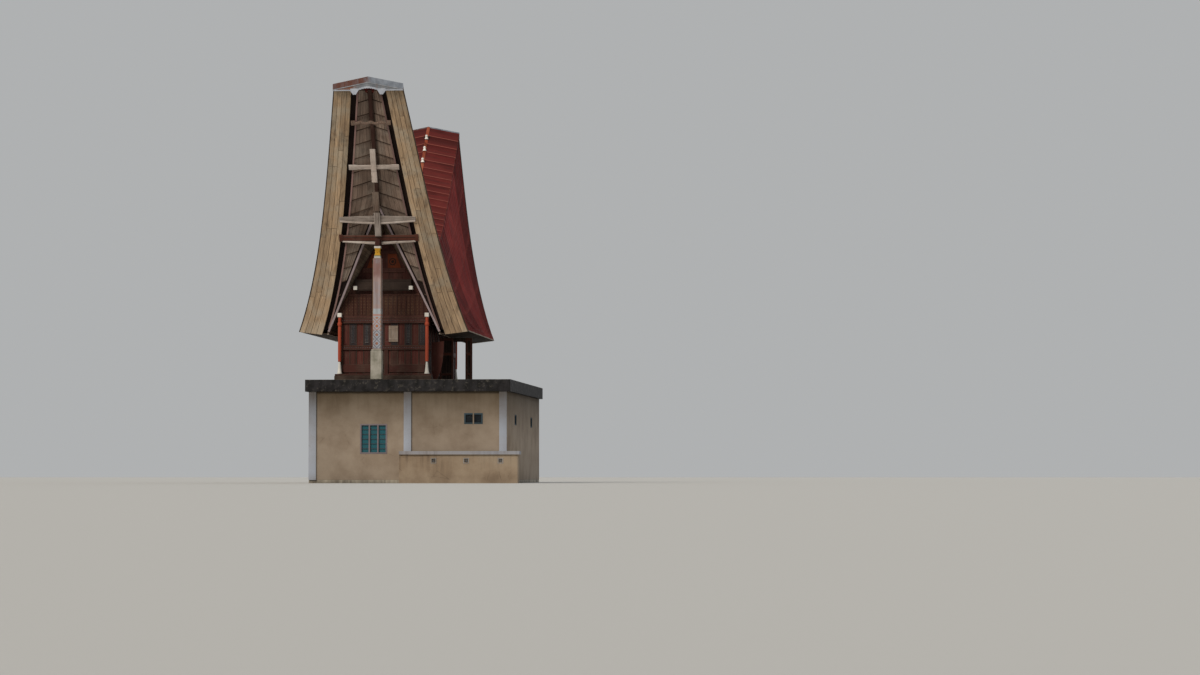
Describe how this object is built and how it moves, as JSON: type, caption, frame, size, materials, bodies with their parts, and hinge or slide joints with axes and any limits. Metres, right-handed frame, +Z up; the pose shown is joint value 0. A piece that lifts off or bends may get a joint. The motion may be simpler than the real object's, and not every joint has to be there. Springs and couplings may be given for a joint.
{
  "type": "tongkonan house",
  "caption": "Traditional timber house with a boat-shaped red metal roof, leaning boarded gables, carved front and free-standing posts, on a terrace over a rendered base storey.",
  "frame": {"origin": "on the house's axis, on the underside of the ground floor slab, at ground level", "axes": "+X across the house to the right seen from the front, +Y along the ridge from the front to the rear, +Z up"},
  "size_m": [8.781, 16.4106, 15.09],
  "materials": {
    "render": "painted cement render, cream, stained by damp",
    "concrete": "cast concrete, dark with weather and moss",
    "pale_concrete": "cast concrete, pale grey-green",
    "window_frame": "worn blue-green paint",
    "window_glass": "plain window glass",
    "floor_boards": "bare floor boards",
    "dark_timber": "dark brown carved and boarded timber",
    "red_timber": "dark red painted carved panels",
    "grey_timber": "weathered grey timber",
    "pale_timber": "weathered pale tan planks",
    "gable_boards": "grey-brown boarding",
    "post_paint": "worn painted timber",
    "orange_paint": "orange-red painted timber",
    "roof_metal": "dark red painted steel sheet",
    "cap_metal": "pale grey painted metal fascia with rust streaks"
  },
  "bodies": {
    "root": {"ground_floor": "concrete", "base_front_wall": "render", "base_rear_wall": "render", "base_left_wall": "render", "base_right_wall": "render", "base_small_window": "window_frame", "base_small_window_glass": "window_glass", "base_wide_window": "window_frame", "base_wide_window_glass": "window_glass", "front_plinth": "render", "terrace_slab": "concrete", "house_floor": "floor_boards", "left_wall": "dark_timber", "right_wall_front": "dark_timber", "right_wall_rear": "dark_timber", "right_wall_over_doorway": "dark_timber", "side_screen": "dark_timber", "side_wing_board": "red_timber", "roof_top": "roof_metal", "roof_left_side": "roof_metal", "roof_right_side": "roof_metal", "inner_roof_left": "gable_boards", "inner_roof_right": "gable_boards", "eave_soffit_left": "dark_timber", "eave_soffit_right": "dark_timber", "front_wall": "red_timber", "front_shutter": "grey_timber", "front_gable_wall": "red_timber", "front_tie_beam": "dark_timber", "front_left_corner_post": "orange_paint", "front_right_corner_post": "orange_paint", "front_post_base": "pale_concrete", "front_post": "post_paint", "front_bargeboard_left": "pale_timber", "front_bargeboard_right": "pale_timber", "front_gable_soffit": "gable_boards", "front_cap": "cap_metal", "front_top_crossbeam": "grey_timber", "front_upper_cross": "grey_timber", "front_middle_cross": "grey_timber", "front_lower_crossbeam": "red_timber", "rear_wall": "red_timber", "rear_shutter": "grey_timber", "rear_gable_wall": "red_timber", "rear_tie_beam": "dark_timber", "rear_left_corner_post": "orange_paint", "rear_right_corner_post": "orange_paint", "rear_post_base": "pale_concrete", "rear_post": "post_paint", "rear_bargeboard_left": "pale_timber", "rear_bargeboard_right": "pale_timber", "rear_gable_soffit": "gable_boards", "rear_cap": "cap_metal", "rear_top_crossbeam": "grey_timber", "rear_upper_cross": "grey_timber", "rear_middle_cross": "grey_timber", "rear_lower_crossbeam": "red_timber"}
  },
  "joints": []
}
